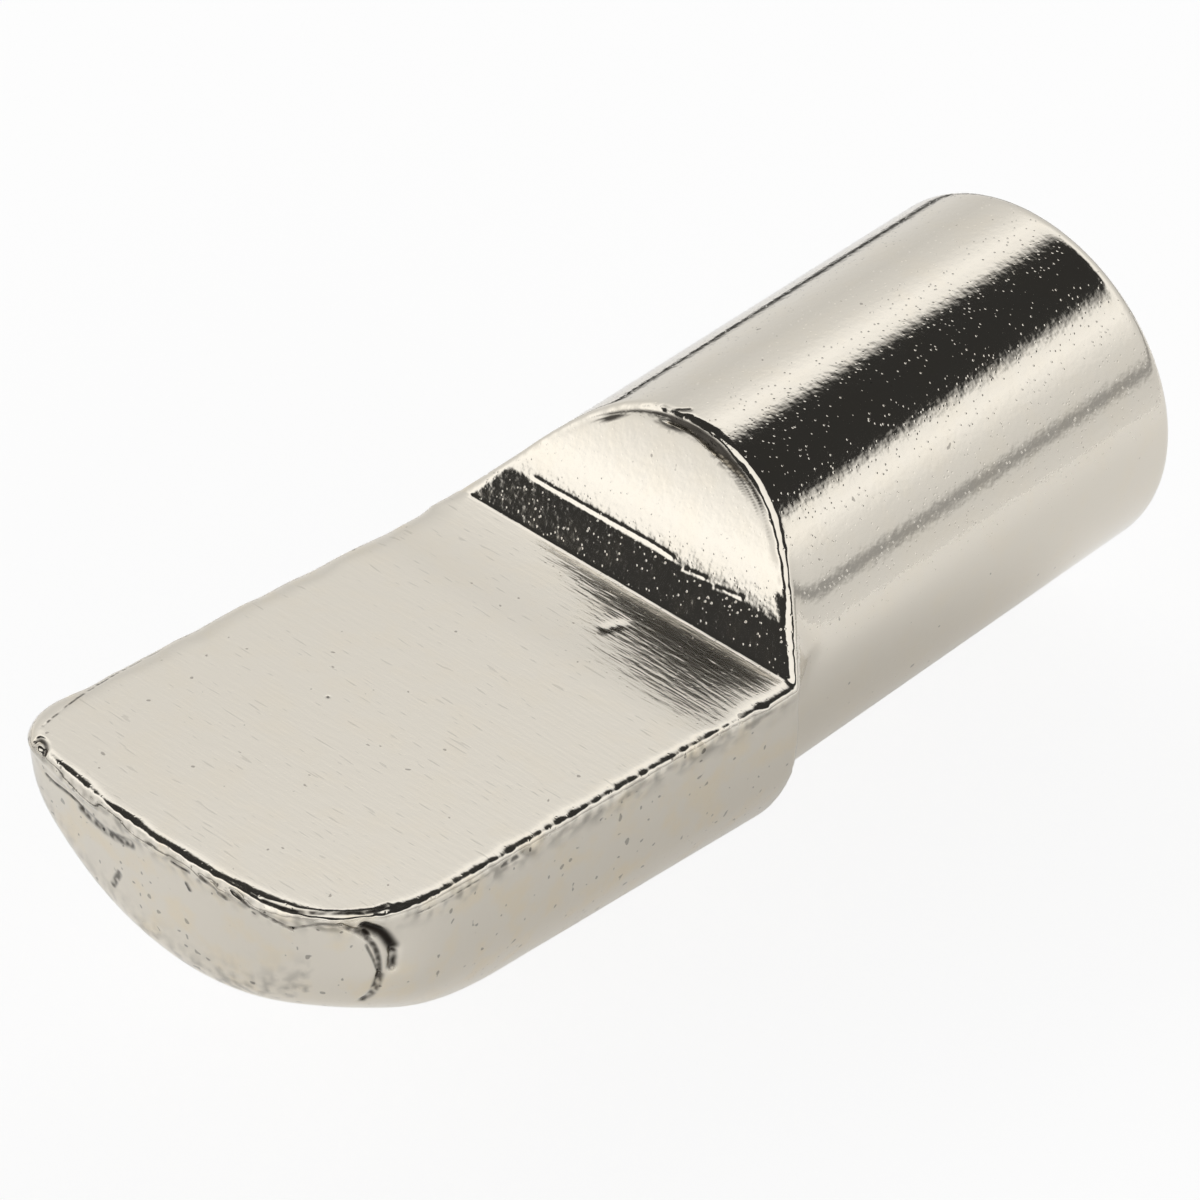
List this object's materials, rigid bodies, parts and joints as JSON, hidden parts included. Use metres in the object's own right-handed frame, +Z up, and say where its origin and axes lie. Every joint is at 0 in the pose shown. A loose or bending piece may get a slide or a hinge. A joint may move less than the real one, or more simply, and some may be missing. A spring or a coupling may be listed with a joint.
{
  "type": "shelf support pin",
  "caption": "Spoon-shaped shelf support pin: a round plug for a drilled hole, pressed out at one end into a flat seat that carries a shelf's edge.",
  "frame": {"origin": "on the plug's axis, at the shoulder where the blade swells out of the plug", "axes": "+Y along the plug to its free end, +Z up out of the seat, +X across the blade"},
  "size_m": [0.0072, 0.0192, 0.0065],
  "materials": {
    "nickel": "bright nickel plate over cold-forged steel"
  },
  "bodies": {
    "root": {"support_pin": "nickel"}
  },
  "joints": []
}
